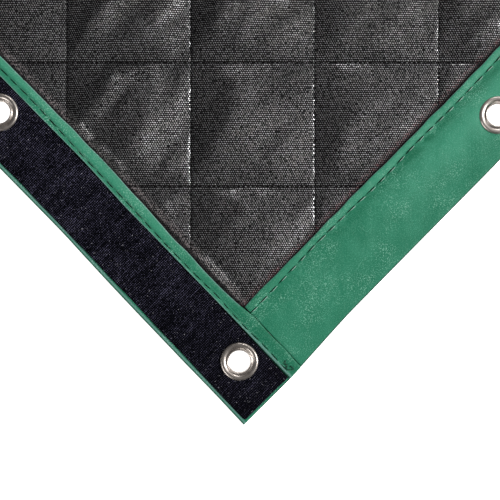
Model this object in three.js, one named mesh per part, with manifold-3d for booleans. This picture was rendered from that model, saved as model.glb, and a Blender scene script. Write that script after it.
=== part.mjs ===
// A quilted sound dampening blanket of nominally 6 ft by 4 ft, lying flat with its face up.
// A padded panel is quilted in squares that stand on their corners. Its edge lies in the slot of a coated
// binding on each side, eyelets are set in the bindings, and a wide loop tape is sewn along the left one.
// Units are millimetres. X runs along the long sides, Y along the short sides and Z is up.
// The origin is the middle of the blanket, on the surface that it lies on.
import * as THREE from "three";
import { mergeVertices } from "three/addons/utils/BufferGeometryUtils.js";
import Module from "manifold-3d";

const wasm = await Module();
wasm.setup();

// The whole blanket, which quilting has left a little under its nominal size
const HALF_LENGTH = 1826 / 2;
const HALF_WIDTH = 1210 / 2;
const DRAW_IN = 11; // how far the quilting draws each side in at its middle
const STEPS = 12; // straight stretches that follow the curve of one side
const GAP = 0.3; // between pieces that touch
const CUT_PAST = 2; // how far a cutting tool runs past what it cuts

// Heights over the surface, from the eyelets' lower flanges up
const LOWER_FLANGE = { bottom: 0.2, top: 1 };
const BINDING_UNDER = LOWER_FLANGE.top + GAP;
const BINDING_TOP = BINDING_UNDER + 2.6;
const LIP = 0.9; // binding cloth under and over the panel's edge
const SLOT_FLOOR = BINDING_UNDER + LIP;
const MARGIN_UNDER = SLOT_FLOOR + GAP; // the panel's pressed edge
const MARGIN_TOP = MARGIN_UNDER + 1.5;
const SLOT_ROOF = MARGIN_TOP + GAP;
const RIDGE = SLOT_ROOF + LIP; // top of the binding over the panel's edge
const TAPE_UNDER = BINDING_TOP + GAP;
const TAPE_TOP = TAPE_UNDER + 1.8;

// Distances in from the outer edge of a side
const FOLD = 0.8; // rounding of the outer fold
const TAPE_OUTER = 2.7;
const TAPE_INNER = 52.6;
const SLOT_BACK = 54.5;
const MARGIN_EDGE = SLOT_BACK + GAP;
const BINDING_INNER = 64;
const BUTT = BINDING_INNER + GAP; // the long bindings end this far from the short sides
const PANEL_FREE = BUTT + 0.2; // the panel is clear of the binding from here
const PANEL_DOWN = PANEL_FREE + 9; // and lies on the surface from here
const PANEL_FULL = PANEL_FREE + 15; // its cells may be as high as they are anywhere from here

// The binding over the panel's edge: how far out from the inner fold, and how far below the top of the ridge
const RIDGE_SECTION = [
  { out: 0, below: 0.5 },
  { out: 1.4, below: 0 },
  { out: 6, below: 0.3 }, // along the stitches
  { out: 9.1, below: 0 },
];

// The short bindings run through to the corners. Their ridge sinks between these two distances from the end.
const RIDGE_FULL = 53;
const RIDGE_GONE = 46;
const TAPE_END = 2.2; // the loop tape stops short of the corners

// Quilting: square cells whose seams run at 45 degrees to the sides
const PITCH = 101.6;
const SEAM_ACROSS = 58.7; // from the lower left corner's diagonal to the first seam on its right
const SEAM_UP = 93.3; // from the same corner to the first seam above it, along the diagonal
const SEAM_UNDER = MARGIN_UNDER - 0.3;
const SEAM_TOP = MARGIN_TOP + 0.2;
const PUFF = 6.3; // rise of a cell's crown over its seams
const PUFF_SPREAD = 0.14; // share by which the flattest cell falls short
const SHOULDER_CORNER = { inset: 17, rise: 0.58 }; // in from the seams, and share of the puff
const SHOULDER_SIDE = { inset: 15, rise: 0.74 };
const REST_INSET = 14; // from the seams to the flat of a cell that lies on the surface

// Eyelets
const EYELET = { hole: 9.05, barrel: 10.2, flange: 15.6, segments: 16 };
const ROLL = { rimIn: 1, rim: 1.3, crownOut: 0.3, crown: 1.5, mouth: 0.65 }; // heights are over the cloth
const CLOTH_HOLE = { radius: 11.4, sides: 8 }; // hidden under the flanges, and clear of the barrel
const CORNER_EYELET = { fromShortSide: 33, fromLongSide: 38 };
const EYELETS_UP_SHORT_SIDE = 5; // both corners among them
const EYELETS_ALONG_LONG_SIDE = 7;

const MATERIALS = {
  quilt: new THREE.MeshStandardMaterial({ color: 0x3d3d3f, roughness: 0.55, metalness: 0 }),
  binding: new THREE.MeshStandardMaterial({ color: 0x3c8566, roughness: 0.55, metalness: 0 }),
  tape: new THREE.MeshStandardMaterial({ color: 0x1b1b23, roughness: 0.95, metalness: 0 }),
  eyelet: new THREE.MeshStandardMaterial({ color: 0xc4beb4, roughness: 0.25, metalness: 1 }),
};

// Even places from one end inset to the other, measured from the middle.
function evenly(half, inset, count) {
  const spacing = (2 * (half - inset)) / (count - 1);
  return Array.from({ length: count }, (_, k) => -half + inset + k * spacing);
}

// Each side is seen from its outer edge. Places along it run from its middle, and all four run the same way
// round. The shoulder is where a binding starts to rise over the panel's edge.
const shortRow = evenly(HALF_WIDTH, CORNER_EYELET.fromLongSide, EYELETS_UP_SHORT_SIDE);
const longRow = evenly(HALF_LENGTH, CORNER_EYELET.fromShortSide, EYELETS_ALONG_LONG_SIDE).slice(1, -1);
const shortSide = { out: HALF_LENGTH, run: HALF_WIDTH, toCorner: true, eyelets: shortRow };
const longSide = { out: HALF_WIDTH, run: HALF_LENGTH - BUTT, toCorner: false, eyelets: longRow };
const taped = { taped: true, eyeletInset: 31.2, shoulder: TAPE_INNER + GAP };
const SIDES = {
  left: { ...shortSide, inward: [1, 0], along: [0, -1], ...taped },
  right: { ...shortSide, inward: [-1, 0], along: [0, 1], eyeletInset: 25.4, shoulder: 50 },
  lower: { ...longSide, inward: [0, 1], along: [1, 0], eyeletInset: 25.4, shoulder: 46 },
  upper: { ...longSide, inward: [0, -1], along: [-1, 0], eyeletInset: 25.4, shoulder: 46 },
};

// A place on the true rectangle, moved to where it lies once the sides are drawn in along parabolas.
function drawnIn(x, y, z) {
  const narrower = (DRAW_IN / HALF_LENGTH) * (1 - (y / HALF_WIDTH) ** 2);
  const lower = (DRAW_IN / HALF_WIDTH) * (1 - (x / HALF_LENGTH) ** 2);
  return new THREE.Vector3(x * (1 - narrower), y * (1 - lower), z);
}

// A place on a side: a distance in from its outer edge, a place along it and a height.
function placeOn({ inward, along, out }, inset, at, z) {
  const depth = inset - out;
  return drawnIn(inward[0] * depth + along[0] * at, inward[1] * depth + along[1] * at, z);
}

// A closed geometry as a solid that can be joined and cut.
function solidOf(geometry) {
  const bare = geometry.clone();
  bare.deleteAttribute("normal");
  bare.deleteAttribute("uv");
  const merged = mergeVertices(bare, 1e-3);
  const vertProperties = merged.attributes.position.array;
  const triVerts = new Uint32Array(merged.index.array);
  return new wasm.Manifold(new wasm.Mesh({ numProp: 3, vertProperties, triVerts }));
}

// A solid from triangles, each given as three corner points that turn left seen from outside.
function solidFrom(corners) {
  return solidOf(new THREE.BufferGeometry().setFromPoints(corners));
}

// A solid as a named mesh.
function meshOf(solid, name, material) {
  const { vertProperties, triVerts } = solid.getMesh();
  const geometry = new THREE.BufferGeometry();
  geometry.setAttribute("position", new THREE.BufferAttribute(vertProperties, 3));
  geometry.setIndex(new THREE.BufferAttribute(triVerts, 1));
  geometry.computeVertexNormals();
  const mesh = new THREE.Mesh(geometry, material);
  mesh.name = name;
  return mesh;
}

// Rings of points joined into a skin. Both ends are closed, in the pattern that the flat end outline gives.
function loft(rings, endOutline) {
  const corners = [];
  rings.slice(1).forEach((ring, before) => {
    const last = rings[before];
    ring.forEach((point, k) => {
      const next = (k + 1) % ring.length;
      corners.push(last[k], last[next], ring[next], last[k], ring[next], point);
    });
  });
  const first = rings[0];
  const end = rings[rings.length - 1];
  for (const [a, b, c] of THREE.ShapeUtils.triangulateShape(endOutline, []))
    corners.push(first[a], first[c], first[b], end[a], end[b], end[c]);
  return solidFrom(corners);
}

// Places along a side that follow its curve, with any further ones that the shape needs.
function stations(from, to, extra = []) {
  const even = Array.from({ length: STEPS + 1 }, (_, k) => THREE.MathUtils.lerp(from, to, k / STEPS));
  return [...even, ...extra].sort((a, b) => a - b);
}

// A section of insets and heights, carried along a side. It may change with the place along the side.
function strip(side, places, sectionAt) {
  const rings = places.map((at) => sectionAt(at).map(([inset, z]) => placeOn(side, inset, at, z)));
  const endOutline = sectionAt(places[0]).map(([inset, z]) => new THREE.Vector2(inset, z));
  return loft(rings, endOutline);
}

// The places along a side and the insets of its eyelets. Those in a corner lie further in.
function eyeletPlaces({ toCorner, eyelets, eyeletInset }) {
  return eyelets.map((at, k) => {
    const inCorner = toCorner && (k === 0 || k === eyelets.length - 1);
    return { at, inset: inCorner ? CORNER_EYELET.fromShortSide : eyeletInset };
  });
}

// A strip less a hole for each of its side's eyelets.
function withEyeletHoles(side, solid) {
  const { radius, sides } = CLOTH_HOLE;
  return eyeletPlaces(side).reduce((left, { at, inset }) => {
    const tool = new THREE.CylinderGeometry(radius, radius, 4 * TAPE_TOP, sides).rotateX(Math.PI / 2);
    return left.subtract(solidOf(tool.translate(...placeOn(side, inset, at, 0))));
  }, solid);
}

// A binding is coated cloth folded round the panel's edge. It is flat from its outer fold to its shoulder,
// and from there it rises over the panel's edge to a ridge with a line of stitches near its inner fold.
function binding(name, side) {
  const { run, toCorner, shoulder } = side;
  const section = (ridge) => {
    const rise = (below) => ridge * (RIDGE - below - BINDING_TOP);
    return [
      [0, (BINDING_UNDER + BINDING_TOP) / 2],
      [FOLD, BINDING_UNDER],
      [BINDING_INNER, BINDING_UNDER],
      ...RIDGE_SECTION.map(({ out, below }) => [BINDING_INNER - out, BINDING_TOP + rise(below)]),
      [shoulder, BINDING_TOP],
      [FOLD, BINDING_TOP],
    ];
  };
  const ridgeEnds = toCorner ? [RIDGE_FULL, RIDGE_GONE].flatMap((end) => [end - run, run - end]) : [];
  const ridgeAt = (at) => (toCorner && Math.abs(at) > run - (RIDGE_FULL + RIDGE_GONE) / 2 ? 0 : 1);
  const outer = strip(side, stations(-run, run, ridgeEnds), (at) => section(ridgeAt(at)));

  const slotEnd = toCorner ? run - SLOT_BACK : run + CUT_PAST;
  const slotMouth = BINDING_INNER + CUT_PAST;
  const slot = strip(side, stations(-slotEnd, slotEnd), () => [
    [SLOT_BACK, SLOT_FLOOR],
    [slotMouth, SLOT_FLOOR],
    [slotMouth, SLOT_ROOF],
    [SLOT_BACK, SLOT_ROOF],
  ]);
  return meshOf(withEyeletHoles(side, outer.subtract(slot)), `binding_${name}`, MATERIALS.binding);
}

// The loop tape lies flat on the left binding's face, between its outer fold and its shoulder.
function loopTape(side) {
  const end = side.run - TAPE_END;
  const tape = strip(side, stations(-end, end), () => [
    [TAPE_OUTER, TAPE_UNDER],
    [TAPE_INNER, TAPE_UNDER],
    [TAPE_INNER, TAPE_TOP],
    [TAPE_OUTER, TAPE_TOP],
  ]);
  return meshOf(withEyeletHoles(side, tape), "loop_tape", MATERIALS.tape);
}

// An eyelet is a barrel with a flat flange under the cloth and a rolled one over it.
function eyeletRing(seat) {
  const { hole, barrel, flange, segments } = EYELET;
  const face = seat + GAP;
  const section = [
    [hole, LOWER_FLANGE.bottom],
    [flange, LOWER_FLANGE.bottom],
    [flange, LOWER_FLANGE.top],
    [barrel, LOWER_FLANGE.top],
    [barrel, face],
    [flange, face],
    [flange - ROLL.rimIn, face + ROLL.rim],
    [barrel + ROLL.crownOut, face + ROLL.crown],
    [hole, face + ROLL.mouth],
    [hole, LOWER_FLANGE.bottom],
  ].map(([radius, z]) => new THREE.Vector2(radius, z));
  return new THREE.LatheGeometry(section, segments).rotateX(Math.PI / 2);
}

function eyelets(name, side) {
  const ring = eyeletRing(side.taped ? TAPE_TOP : BINDING_TOP);
  return eyeletPlaces(side).map(({ at, inset }, k) => {
    const mesh = new THREE.Mesh(ring, MATERIALS.eyelet);
    mesh.name = `eyelet_${name}_${k + 1}`;
    mesh.position.copy(placeOn(side, inset, at, 0));
    return mesh;
  });
}

// A place in a quilted cell, by the cell's column and row and by shares of the pitch within it. Columns run
// across the diagonal that starts in the lower left corner, and rows run up it.
function quiltPlace(column, row, across, up, z) {
  const right = SEAM_ACROSS + (column + across) * PITCH;
  const away = SEAM_UP + (row + up) * PITCH;
  const x = -HALF_LENGTH + (away + right) * Math.SQRT1_2;
  const y = -HALF_WIDTH + (away - right) * Math.SQRT1_2;
  return new THREE.Vector3(x, y, z);
}

// The triangles of one cell: a crowned top with eight points round its shoulder, and an underside that is
// flat but for its sloped edges. Its open sides have no other cell against them.
function cellCorners(column, row, openSides) {
  const square = (inset, z) => {
    const [low, high] = [inset / PITCH, 1 - inset / PITCH];
    const around = [[low, low], [high, low], [high, high], [low, high]];
    return around.map(([across, up]) => quiltPlace(column, row, across, up, z));
  };
  const puff = PUFF * (1 - PUFF_SPREAD * (0.5 + 0.5 * Math.sin(2.4 * column + 4.1 * row)));
  const sideLow = SHOULDER_SIDE.inset / PITCH;
  const sideZ = SEAM_TOP + SHOULDER_SIDE.rise * puff;
  const seam = square(0, SEAM_TOP);
  const shoulder = square(SHOULDER_CORNER.inset, SEAM_TOP + SHOULDER_CORNER.rise * puff);
  const middles = [[0.5, sideLow], [1 - sideLow, 0.5], [0.5, 1 - sideLow], [sideLow, 0.5]];
  const sides = middles.map(([across, up]) => quiltPlace(column, row, across, up, sideZ));
  const crown = quiltPlace(column, row, 0.5, 0.5, SEAM_TOP + puff);
  const under = square(0, SEAM_UNDER);
  const rest = square(REST_INSET, 0);

  const corners = [rest[0], rest[2], rest[1], rest[0], rest[3], rest[2]];
  for (let k = 0; k < 4; k++) {
    const next = (k + 1) % 4;
    corners.push(seam[k], seam[next], sides[k]);
    corners.push(seam[k], sides[k], shoulder[k]);
    corners.push(seam[next], shoulder[next], sides[k]);
    corners.push(shoulder[k], sides[k], crown);
    corners.push(sides[k], shoulder[next], crown);
    corners.push(under[k], rest[k], rest[next]);
    corners.push(under[k], rest[next], under[next]);
    if (openSides[k]) corners.push(under[k], under[next], seam[next], under[k], seam[next], seam[k]);
  }
  return corners;
}

// Quilted cells over the whole blanket and a little past it.
function quiltedCells() {
  const columns = { first: Math.floor((-2 * HALF_WIDTH * Math.SQRT1_2 - SEAM_ACROSS) / PITCH) };
  columns.last = Math.floor((2 * HALF_LENGTH * Math.SQRT1_2 - SEAM_ACROSS) / PITCH);
  const rows = { first: Math.floor(-SEAM_UP / PITCH) };
  rows.last = Math.floor((2 * (HALF_LENGTH + HALF_WIDTH) * Math.SQRT1_2 - SEAM_UP) / PITCH);
  const corners = [];
  for (let column = columns.first; column <= columns.last; column++) {
    for (let row = rows.first; row <= rows.last; row++) {
      const lowerSides = [row === rows.first, column === columns.last];
      const upperSides = [row === rows.last, column === columns.first];
      corners.push(...cellCorners(column, row, [...lowerSides, ...upperSides]));
    }
  }
  return solidFrom(corners);
}

// The outline of the drawn-in panel at one inset and height.
function panelRing(inset, z) {
  const x = HALF_LENGTH - inset;
  const y = HALF_WIDTH - inset;
  const corners = [[-x, -y], [x, -y], [x, y], [-x, y]].map((corner) => new THREE.Vector2(...corner));
  const places = corners.flatMap((corner, k) => {
    const next = corners[(k + 1) % 4];
    return Array.from({ length: STEPS }, (_, step) => corner.clone().lerp(next, step / STEPS));
  });
  return places.map((place) => drawnIn(place.x, place.y, z));
}

// The panel is the quilted cells, pressed to a thin flat margin that lies in the bindings' slots.
function quiltedPanel() {
  const overCrown = SEAM_TOP + PUFF + 1;
  const rings = [
    panelRing(PANEL_DOWN, -1),
    panelRing(PANEL_FREE, MARGIN_UNDER),
    panelRing(MARGIN_EDGE, MARGIN_UNDER),
    panelRing(MARGIN_EDGE, MARGIN_TOP),
    panelRing(PANEL_FREE, MARGIN_TOP),
    panelRing(PANEL_FULL, overCrown),
  ];
  const endOutline = rings[0].map(({ x, y }) => new THREE.Vector2(x, y));
  const pressed = loft(rings, endOutline);
  return meshOf(quiltedCells().intersect(pressed), "quilted_panel", MATERIALS.quilt);
}

const blanket = new THREE.Group();
blanket.add(quiltedPanel(), loopTape(SIDES.left));
for (const [name, side] of Object.entries(SIDES)) blanket.add(binding(name, side), ...eyelets(name, side));

export default blanket;
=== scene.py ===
"""The looks of a quilted sound dampening blanket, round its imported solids.

The sections follow the blanket as it is sewn: the quilted panel and its seams, the four folded bindings, the
loop tape, the stitches that hold them, and the eyelets. The floor, the lights and the camera come last.
Shapes are worked out in millimetres and put into the meshes in metres.
"""

import math

import bmesh
import bpy
import numpy as np
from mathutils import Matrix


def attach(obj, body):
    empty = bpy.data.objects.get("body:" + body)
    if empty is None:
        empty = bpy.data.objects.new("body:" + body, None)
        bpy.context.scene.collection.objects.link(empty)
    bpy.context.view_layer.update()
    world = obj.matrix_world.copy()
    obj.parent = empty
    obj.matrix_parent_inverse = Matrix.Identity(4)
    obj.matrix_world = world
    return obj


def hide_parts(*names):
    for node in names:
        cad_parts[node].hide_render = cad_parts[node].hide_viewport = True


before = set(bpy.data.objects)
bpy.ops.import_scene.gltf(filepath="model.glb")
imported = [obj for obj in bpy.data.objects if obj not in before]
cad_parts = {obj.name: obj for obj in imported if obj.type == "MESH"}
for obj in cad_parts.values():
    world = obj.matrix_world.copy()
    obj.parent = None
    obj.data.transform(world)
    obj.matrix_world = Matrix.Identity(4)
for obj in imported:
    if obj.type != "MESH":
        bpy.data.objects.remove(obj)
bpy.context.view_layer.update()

# The quilted panel is two faces of black woven cloth with a filling between them, sewn through in squares
# that stand on their corners. Its edge is pressed thin and lies in the slot of the bindings.
HALF_LENGTH = 913.0
HALF_WIDTH = 605.0
DRAW_IN = 11.0
PITCH = 101.6
SEAM_ACROSS = 58.7
SEAM_UP = 93.3
SEAM_TOP = 4.2
SEAM_UNDER = 2.2
PUFF = 6.8
EDGE_INSET = 54.8
EDGE_UNDER = 2.5
EDGE_TOP = 4.0
FREE_INSET = 64.5
# Points closer than this are merged, in metres
MERGED_WITHIN = 2e-6
# The columns and rows of cells near the corner, with a finer grid and closer folds than the others
FINE_COLUMNS = (-2, 1)
FINE_ROWS = (-1, 2)
FINE_LINES = 31
PLAIN_LINES = 8
FINE_FOLDS_APART = 29
PLAIN_FOLDS_APART = 47
CREST_BOW = 2.5

# Drag folds in the cells of the near corner, in seam coordinates: the start and the end of each crest, its
# half-widths to the left and to the right of that way, and its height.
DRAG_FOLDS = [
    ((-140, 238), (-84, 290), 22, 7, 3.0),
    ((-107, 190), (-66, 284), 17, 30, 3.7),
    ((-92, 200), (-56, 240), 6, 8, 2.2),
    ((-142, 294), (-100, 356), 14, 13, 2.8),
    ((-93, 286), (-46, 368), 19, 27, 2.9),
    ((-45, 194), (2, 268), 18, 26, 4.2),
    ((-38, 304), (0, 262), 30, 8, 1.8),
    ((-42, 294), (2, 366), 16, 26, 3.2),
    ((72, 198), (96, 268), 24, 26, 2.5),
    ((62, 300), (90, 272), 20, 7, 1.4),
    ((90, 297), (140, 350), 12, 18, 1.3),
    ((64, 302), (100, 352), 10, 12, 1.2),
    ((4, 90), (36, 188), 60, 30, 2.6),
    ((-42, 197), (16, 165), 18, 8, 2.6),
    ((14, 182), (36, 150), 8, 6, 1.0),
    ((30, 187), (50, 163), 8, 6, 1.2),
    ((0, 92), (44, 140), 9, 11, 0.8),
    ((64, 116), (98, 170), 9, 9, 1.2),
    ((-78, 160), (-52, 190), 6, 7, 1.6),
    ((-198, 268), (-158, 332), 11, 8, 2.0),
    ((6, 52), (22, 86), 6, 6, 0.9),
    ((134, 232), (102, 256), 6, 14, 1.0),
    ((174, 294), (214, 346), 11, 14, 1.2),
]
# How full the cells near the corner are, by column and row
CELL_PUFF = {
    (-2, 1): 1.22, (-2, 2): 1.14, (-1, 0): 0.76, (-1, 1): 0.95, (-1, 2): 1.1,
    (0, 0): 0.8, (0, 1): 0.6, (0, 2): 0.84, (1, 1): 0.85, (1, 2): 0.85,
}


def ripple(x, y, size, seed):
    """Soft unevenness, mostly between -1 and 1: seven sine waves added up and divided by 3.2. The seed gives
    their directions, their starts and their lengths, which are near size."""
    draw = np.random.default_rng(seed)
    turns = draw.uniform(0, math.tau, 7)
    waves = math.tau / (size * draw.uniform(0.7, 1.6, 7))
    starts = draw.uniform(0, math.tau, 7)
    total = sum(np.sin(w * (x * math.cos(t) + y * math.sin(t)) + s) for t, w, s in zip(turns, waves, starts))
    return total / 3.2


def smooth(low, high, value):
    """0 below low, 1 above high, and 3t^2 - 2t^3 between, with t the share of the way."""
    t = np.clip((value - low) / (high - low), 0, 1)
    return t * t * (3 - 2 * t)


def drawn_in(x, y):
    """A place on the true rectangle, moved to where it lies once each side is drawn in along a parabola."""
    narrower = DRAW_IN / HALF_LENGTH * (1 - (y / HALF_WIDTH) ** 2)
    lower = DRAW_IN / HALF_WIDTH * (1 - (x / HALF_LENGTH) ** 2)
    return x * (1 - narrower), y * (1 - lower)


def let_out(x, y):
    """The other way: drawn_in undone by four rounds of correction."""
    true_x, true_y = x, y
    for _ in range(4):
        now_x, now_y = drawn_in(true_x, true_y)
        true_x, true_y = true_x + x - now_x, true_y + y - now_y
    return true_x, true_y


def from_seams(right, away):
    """Seam coordinates, across and up the near corner's diagonal, turned 45 degrees into x and y."""
    return -HALF_LENGTH + (away + right) * math.sqrt(0.5), -HALF_WIDTH + (away - right) * math.sqrt(0.5)


def to_seams(x, y):
    """x and y turned back into seam coordinates."""
    from_x, from_y = x + HALF_LENGTH, y + HALF_WIDTH
    return (from_x - from_y) * math.sqrt(0.5), (from_x + from_y) * math.sqrt(0.5)


def inset_at(x, y):
    """How far in from the nearest outer edge a place is."""
    true_x, true_y = let_out(x, y)
    return np.minimum(HALF_LENGTH - np.abs(true_x), HALF_WIDTH - np.abs(true_y))


def drag_folds(right, away):
    """The highest of the drag folds at each place. A fold falls off from its crest in two straight slopes.
    Its height along the crest is a half sine wave to the power 0.42, and the crest bows to the left."""
    total = np.zeros_like(right)
    for (from_right, from_away), (to_right, to_away), left_half, right_half, height in DRAG_FOLDS:
        way_right, way_away = to_right - from_right, to_away - from_away
        length = math.hypot(way_right, way_away)
        past_right, past_away = right - from_right, away - from_away
        along = (past_right * way_right + past_away * way_away) / length**2
        rise = np.sin(math.pi * np.clip(along, 0, 1))
        across = (past_away * way_right - past_right * way_away) / length - CREST_BOW * rise
        half = np.where(across > 0, left_half, right_half)
        total = np.maximum(total, height * np.clip(1 - np.abs(across / half), 0, 1) * rise**0.42)
    return total


def slanting_folds(right, away, column, row, apart):
    """Slack in long folds from lower left to upper right. Each is a ridge of two straight slopes, steep on
    its upper left, and its height wanders. They lean and start differently in each cell."""
    lean = 0.86 + 0.16 * np.sin(2.7 * column + 1.3 * row)
    past = away * np.cos(lean) - right * np.sin(lean)
    past = past + 5 * ripple(right, away, 70, 31) + 41 * column + 23 * row
    share = np.mod(past / apart, 1)
    ridge = np.minimum(share / 0.68, (1 - share) / 0.32)
    height = np.clip(1.3 + 1.5 * ripple(right, away, 55, 33), 0.2, 2.8)
    return height * (ridge - 0.5)


def panel_top(right, away):
    """Height of the panel's face. A cell is as high as the crown times its fullness times 1 - |2u - 1|^2.2
    across and 1 - |2v - 1|^3.4 up, with u skewed so that the crest lies left of the middle. Folds and
    wrinkles are added, a narrow crease at each seam is taken off, and it sinks to the pressed edge."""
    across, up = (right - SEAM_ACROSS) / PITCH, (away - SEAM_UP) / PITCH
    column, row = np.floor(across), np.floor(up)
    share = across - column
    skewed = share + 0.5 * share * (1 - share)
    u, v = np.abs(2 * skewed - 1), np.abs(2 * (up - row) - 1)
    fullness = 1 - 0.14 * (0.5 + 0.5 * np.sin(2.4 * column + 4.1 * row))
    for (at_column, at_row), share_of_it in CELL_PUFF.items():
        fullness = np.where((column == at_column) & (row == at_row), fullness * share_of_it, fullness)
    pillow = (1 - u**2.2) * (1 - v**3.4)
    from_column, from_row = (1 - np.abs(2 * share - 1)) * PITCH / 2, (1 - v) * PITCH / 2
    from_seam = np.minimum(from_column, from_row)
    crease = 0.6 * np.exp(-from_column / 0.8) + 0.3 * np.exp(-from_row / 0.8)
    free = 1 - np.exp(-from_seam / 6)
    pucker = 0.45 * ripple(right, away, 9, 4) * np.exp(-from_seam / 9) * free
    in_fine_column = (column >= FINE_COLUMNS[0]) & (column <= FINE_COLUMNS[1])
    fine = in_fine_column & (row >= FINE_ROWS[0]) & (row <= FINE_ROWS[1])
    wrinkles = ripple(right * 0.8 + away * 0.6, (away * 0.8 - right * 0.6) * 0.4, 24, 9)
    apart = np.where(fine, FINE_FOLDS_APART, PLAIN_FOLDS_APART)
    slack = np.where(fine, 0.25, 0.5) * wrinkles
    slack += fullness**1.6 * slanting_folds(right, away, column, row, apart)
    x, y = from_seams(right, away)
    inset = inset_at(x, y)
    risen = PUFF * fullness * pillow + free * (slack + drag_folds(right, away)) + pucker - crease
    sunk = 1 - (1 - np.clip((inset - FREE_INSET - 1.0) / 11, 0, 1)) ** 2
    return EDGE_TOP + (SEAM_TOP - EDGE_TOP + np.maximum(risen, -1.4)) * sunk


def panel_under(right, away):
    """Height of the panel's back: flat where a cell rests, and lifted near the seams and at the pressed
    edge."""
    across, up = (right - SEAM_ACROSS) / PITCH, (away - SEAM_UP) / PITCH
    u, v = np.abs(2 * (across - np.floor(across)) - 1), np.abs(2 * (up - np.floor(up)) - 1)
    from_seam = np.minimum(1 - u, 1 - v) * PITCH / 2
    x, y = from_seams(right, away)
    lifted = SEAM_UNDER * (1 - smooth(0, 15, from_seam))
    at_edge = EDGE_UNDER * (1 - smooth(FREE_INSET, FREE_INSET + 9, inset_at(x, y)))
    return np.maximum(np.maximum(lifted, at_edge), 0.02)


def quilt_lines(first, last, fine, seam):
    """Grid lines over whole cells: on each seam, at a few set distances beside it, and evenly between."""
    lines = []
    for cell in range(first, last + 1):
        near = fine[0] <= cell <= fine[1]
        beside = np.array([0.6, 1.3, 2.3, 3.8] if near else [1.2, 3.5])
        count = FINE_LINES if near else PLAIN_LINES
        between = np.linspace(beside[-1], PITCH - beside[-1], count)[1:-1]
        lines.append(cell * PITCH + np.concatenate([[0], beside, between, PITCH - beside[::-1]]))
    return seam + np.append(np.concatenate(lines), (last + 1) * PITCH)


def put_in(name, data):
    """A mesh, a light or a camera as an object of the scene."""
    thing = bpy.data.objects.new(name, data)
    bpy.context.scene.collection.objects.link(thing)
    return thing


def make_piece(name, points, faces):
    """A piece of the blanket from an array of points in millimetres and a list of faces, shaded smooth."""
    mesh = bpy.data.meshes.new(name)
    mesh.from_pydata(np.asarray(points) / 1000, [], [list(face) for face in faces])
    mesh.shade_smooth()
    piece = put_in(name, mesh)
    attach(piece, "root")
    return piece


def reworked(piece, work):
    """The piece after some work on its points, edges and faces."""
    body = bmesh.new()
    body.from_mesh(piece.data)
    work(body)
    body.to_mesh(piece.data)
    body.free()
    return piece


def keep(piece, name, values):
    """A number for each point of the piece, which its material reads."""
    kept = piece.data.attributes.new(name, "FLOAT", "POINT")
    kept.data.foreach_set("value", values)


def cleaned(body):
    """Points that lie almost on each other merged, faces of no size taken away."""
    bmesh.ops.remove_doubles(body, verts=body.verts, dist=MERGED_WITHIN)
    bmesh.ops.dissolve_degenerate(body, edges=body.edges, dist=MERGED_WITHIN)


def quilted_panel():
    """Face and back on one grid of seam coordinates. Squares with a point inside the outline are kept, their
    outer points are moved onto it, and a wall joins the two rims. Each point keeps how far in it lies from
    the short side and from the long side."""
    across = quilt_lines(-10, 14, FINE_COLUMNS, SEAM_ACROSS)
    up = quilt_lines(-1, 21, FINE_ROWS, SEAM_UP)
    right, away = np.meshgrid(across, up, indexing="ij")
    x, y = from_seams(right, away)
    true_x, true_y = let_out(x, y)
    limit_x, limit_y = HALF_LENGTH - EDGE_INSET, HALF_WIDTH - EDGE_INSET
    inside = (np.abs(true_x) < limit_x) & (np.abs(true_y) < limit_y)
    wanted = inside[:-1, :-1] | inside[1:, :-1] | inside[:-1, 1:] | inside[1:, 1:]
    x, y = drawn_in(np.clip(true_x, -limit_x, limit_x), np.clip(true_y, -limit_y, limit_y))
    right, away = to_seams(x, y)
    face = np.stack([x, y, panel_top(right, away)], axis=-1).reshape(-1, 3)
    back = np.stack([x, y, panel_under(right, away)], axis=-1).reshape(-1, 3)

    number = np.arange(x.size).reshape(x.shape)
    a, b, c, d = number[:-1, :-1], number[1:, :-1], number[1:, 1:], number[:-1, 1:]
    squares = np.stack([a[wanted], b[wanted], c[wanted], d[wanted]], axis=-1)
    edges = np.concatenate([squares[:, [k, (k + 1) % 4]] for k in range(4)])
    key = edges.min(axis=1).astype(np.int64) * x.size + edges.max(axis=1)
    _, first, count = np.unique(key, return_index=True, return_counts=True)
    rim = edges[first[count == 1]]
    wall = np.stack([rim[:, 1], rim[:, 0], rim[:, 0] + x.size, rim[:, 1] + x.size], axis=-1)
    faces = np.concatenate([squares, squares[:, ::-1] + x.size, wall])
    used, faces = np.unique(faces, return_inverse=True)
    points = np.concatenate([face, back])[used]
    piece = reworked(make_piece("quilt", points, faces.reshape(-1, 4)), cleaned)
    places = np.empty(3 * len(piece.data.vertices))
    piece.data.vertices.foreach_get("co", places)
    x, y = places[0::3] * 1000, places[1::3] * 1000
    true_x, true_y = let_out(x, y)
    keep(piece, "from_short", (HALF_LENGTH - np.abs(true_x)) / 1000)
    keep(piece, "from_long", (HALF_WIDTH - np.abs(true_y)) / 1000)
    return piece


def by_node(operation):
    """An operator that adds one Math node."""
    return lambda amount, other: amount.worked(operation, other)


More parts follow.
